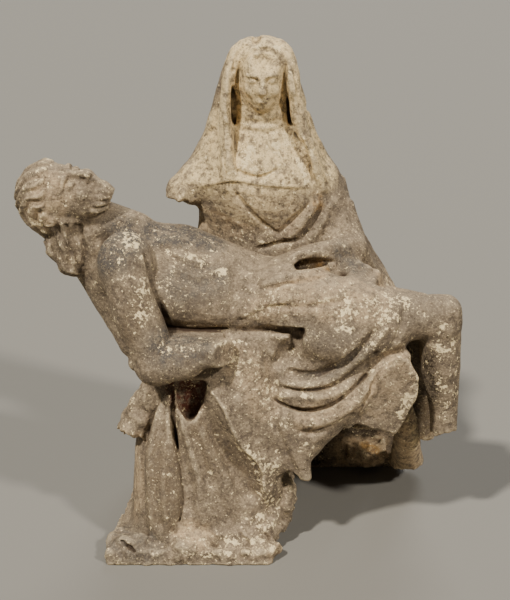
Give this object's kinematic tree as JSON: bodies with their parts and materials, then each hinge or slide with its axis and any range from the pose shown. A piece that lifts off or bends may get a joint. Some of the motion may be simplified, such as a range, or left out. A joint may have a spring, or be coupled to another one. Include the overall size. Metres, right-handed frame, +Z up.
{
  "type": "pieta statue",
  "caption": "Weathered carved limestone group of a seated veiled woman with a dead man laid across her lap, broken arms and feet, flat underside.",
  "frame": {"origin": "on the floor, under the middle of the statue's bounding box", "axes": "+Z up, the front that the statue is seen from faces -Y, and the dead man's head lies towards -X"},
  "size_m": [0.707, 0.3946, 0.7995],
  "materials": {
    "limestone": "weathered, matt, with remains of a pale ground"
  },
  "bodies": {
    "root": {"pieta": "limestone"}
  },
  "joints": []
}
